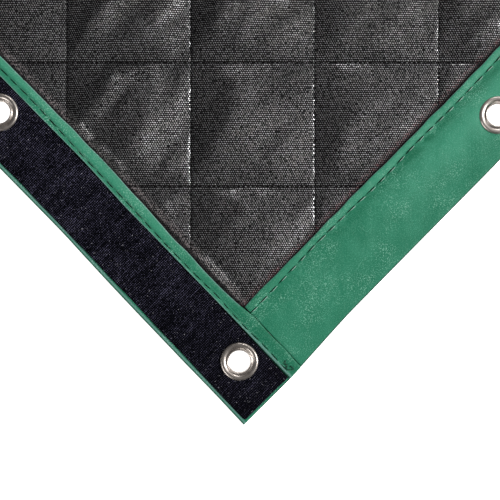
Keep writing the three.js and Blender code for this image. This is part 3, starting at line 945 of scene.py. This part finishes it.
def stitches_along(side, name, inset, height, length, half, share):
    """A row of stitches along a side, each a spindle a little off its line, at the pitch of the pulls in the
    cloth. Share is how far along its pitch the middle of a stitch lies."""
    run = side["run"]
    count = int(2 * run / BINDING_STITCH)
    middles = -run + (np.arange(count) + share) * BINDING_STITCH
    middles = middles[np.abs(middles) < run - 4]
    draw = np.random.default_rng(len(name) * 7 + int(share * 10))
    off = draw.uniform(-CROOKED, CROOKED, (2, len(middles)))
    size = length * draw.uniform(0.88, 1.06, len(middles)) / 2
    ends = []
    for direction in (-1, 1):
        at = middles + direction * size
        x, y = on_side(side, inset + stitch_strays(name, side, at) + off[(direction + 1) // 2], at)
        ends.append(np.stack([x, y, np.full(len(at), height)], axis=-1))
    return beads(ends[0], ends[1], half, STITCH_LIFT, levels=5)


green_thread = thread_finish("binding_thread", shade(2, 12, 9), 0.8, 0.15)
pale_thread = thread_finish("pale_thread", shade(172, 214, 196), 0.5)
for name, side in SIDES.items():
    level, length = (6.1, 9.6) if side["taped"] else (4.7, 10.2)
    line = STITCH_INSET[side["taped"]]
    stitches = stitches_along(side, name, line, level, length, 0.34, STITCH_SHARE)
    row = make_piece(f"{name}_stitches", *stitches)
    row.data.materials.append(green_thread)
    if not side["taped"]:
        glints = stitches_along(side, name, line - 0.85, level + 0.16, 7.0, 0.32, GLINT_SHARE)
        ends_row = make_piece(f"{name}_thread_ends", *glints)
        ends_row.data.materials.append(pale_thread)

# The seam of the left binding ends at the near corner in a back-tack, a small zigzag of green thread over
# the cut edge.
BACK_TACK = [
    (34.9, 53.1), (33.6, 49.0), (36.2, 49.6), (35.2, 45.0), (40.6, 44.6), (41.4, 46.4), (37.8, 48.2),
]


def back_tack():
    """Threads from corner to corner of the zigzag, given in seam coordinates."""
    x, y = from_seams(*np.array(BACK_TACK).T)
    corners = np.stack([x, y, np.full(len(x), 6.75)], axis=-1)
    return make_piece("back_tack", *beads(corners[:-1], corners[1:], 0.5, STITCH_LIFT, levels=3))


knot = back_tack()
knot.data.materials.append(thread_finish("tack_thread", shade(34, 84, 66), 0.7, 0.2))

# The eyelets are nickel-plated brass in two rolled parts: a barrel with a flat flange under the cloth, and a
# domed flange over it. The mouth is rolled outwards into a bright lip.
EYELET_STEPS = 72
EYELET_TOP = [
    (9.02, 0.6), (9.1, 1.0), (9.32, 1.36), (9.7, 1.6), (10.1, 1.62), (10.5, 1.44), (10.8, 1.1),
    (10.95, 0.7), (11.15, 0.46), (11.45, 0.5), (11.8, 0.72), (12.2, 0.94), (12.8, 1.1), (13.4, 1.16),
    (14.0, 1.14), (14.5, 1.04), (14.85, 0.86), (15.15, 0.6), (15.4, 0.32), (15.55, 0.12), (15.5, 0.02),
    (15.2, 0.0), (13.0, 0.06), (10.25, 0.1),
]
EYELET_UNDER = [
    (10.2, 1.0), (15.3, 1.0), (15.55, 0.85), (15.6, 0.5), (15.4, 0.26), (15.0, 0.2), (9.6, 0.2), (9.2, 0.3),
    (9.05, 0.7),
]
SEAT_ON_TAPE = 6.3
SEAT_ON_BINDING = 4.2


def eyelet(name, side, number, at, inset):
    """The section turned about the eyelet's own axis, its top over the seat on the cloth. The lower flange
    and the barrel close it underneath."""
    seat = SEAT_ON_TAPE if side["taped"] else SEAT_ON_BINDING
    section = np.array([(radius, seat + height) for radius, height in EYELET_TOP] + EYELET_UNDER)
    radius, height, turn = spread(section, np.arange(EYELET_STEPS) * math.tau / EYELET_STEPS)
    x, y = on_side(side, inset, at)
    points = np.stack([x + radius * np.cos(turn), y + radius * np.sin(turn), height], axis=-1).reshape(-1, 3)
    place = np.arange(height.size).reshape(height.shape)
    onward, following = np.roll(place, -1, axis=0), np.roll(place, -1, axis=1)
    faces = np.stack([place, onward, np.roll(onward, -1, axis=1), following], axis=-1)
    ring = reworked(make_piece(f"{name}_eyelet_{number}", points, faces.reshape(-1, 4)), turned_out)
    ring.data.set_sharp_from_angle(angle=math.radians(60))
    return ring


def plated_metal():
    """Nickel plate with a warm cast, finely brushed and a little cloudy."""
    finish = Finish("nickel_plate", Metallic=1.0)
    here = finish.place()
    cloud = finish.noise(here, 160.0, 3.0, 0.6)
    brushed = finish.noise(finish.place(0.5, (1.0, 0.15, 1.0)), 2400.0, 2.0, 0.6)
    colour = finish.mixed(cloud, shade(164, 153, 145), shade(212, 204, 197))
    return finish.ends(colour, cloud * 0.14 + 0.27, brushed * 0.4 + cloud, 0.00001)


nickel = plated_metal()
for name, side in SIDES.items():
    for number, (at, inset) in enumerate(eyelet_places(side), start=1):
        ring = eyelet(name, side, number, at, inset)
        ring.data.materials.append(nickel)
        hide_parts(f"eyelet_{name}_{number}")

# The blanket lies on a white floor. A strong soft light stands to the right of the picture, a weaker one
# beyond its upper edge, and a faint one at the lower left.
LOOKED_AT = (-0.8081, -0.5079)


def floor_finish():
    """Plain white that stays white under the lights."""
    dull = {"Roughness": 0.9, "Specular_IOR_Level": 0.1, "Base_Color": (0.92, 0.92, 0.92, 1)}
    glow = {"Emission_Color": (1, 1, 1, 1), "Emission_Strength": 0.95}
    return Finish("white_floor", **dull, **glow).material


floor_mesh = bpy.data.meshes.new("floor")
floor_mesh.from_pydata([(-6, -6, 0), (6, -6, 0), (6, 6, 0), (-6, 6, 0)], [], [(0, 1, 2, 3)])
floor_mesh.materials.append(floor_finish())
put_in("floor", floor_mesh)


def area_light(name, across, up, height, power):
    """A square light 1.2 m wide, so many metres across and up from the middle of the picture and over it,
    aimed at that middle."""
    light = bpy.data.lights.new(name, "AREA")
    light.shape, light.size, light.energy = "SQUARE", 1.2, power
    lamp = put_in(name, light)
    x = LOOKED_AT[0] + (across + up) * math.sqrt(0.5)
    y = LOOKED_AT[1] + (up - across) * math.sqrt(0.5)
    lamp.location = (x, y, height)
    flat = math.hypot(x - LOOKED_AT[0], y - LOOKED_AT[1])
    heading = math.atan2(LOOKED_AT[1] - y, LOOKED_AT[0] - x)
    lamp.rotation_euler = (0, math.atan2(flat, height), heading + math.pi)


area_light("key", 3.43, 0.2, 2.89, 180)
area_light("second", 0.9, 3.3, 2.7, 37)
area_light("fill", -1.7, -1.5, 1.6, 22)

# The room round it is a soft dark grey, lighter towards a window on the right, which the shiny parts
# reflect.
TOWARDS_WINDOW = (0.76, -0.32, 0.57)
world = bpy.data.worlds.new("studio")
world.use_nodes = True
sky, background = world.node_tree, world.node_tree.nodes["Background"].inputs
kinds = ("TexCoord", "VectorMath", "MapRange")
looking, turned, rise = (sky.nodes.new(f"ShaderNode{kind}") for kind in kinds)
turned.operation = "DOT_PRODUCT"
turned.inputs[1].default_value = TOWARDS_WINDOW
rise.interpolation_type = "SMOOTHSTEP"
for socket, value in (("From Min", 0.5), ("From Max", 1.0), ("To Min", 0.1), ("To Max", 0.5)):
    rise.inputs[socket].default_value = value
background["Color"].default_value = (1, 1, 1, 1)
sky.links.new(looking.outputs["Generated"], turned.inputs[0])
sky.links.new(turned.outputs["Value"], rise.inputs["Value"])
sky.links.new(rise.outputs[0], background["Strength"])
scene = bpy.context.scene
scene.world = world
scene.view_settings.view_transform = "Standard"

# The camera looks straight down on the near corner from a little under a metre, turned so that the corner
# points down the picture.
CAMERA_HEIGHT = 0.9719
camera_data = bpy.data.cameras.new("camera")
camera_data.lens, camera_data.sensor_width = 85, 36
camera = put_in("camera", camera_data)
camera.location = (*LOOKED_AT, CAMERA_HEIGHT)
camera.rotation_euler = (0, 0, -math.pi / 4)
scene.camera = camera
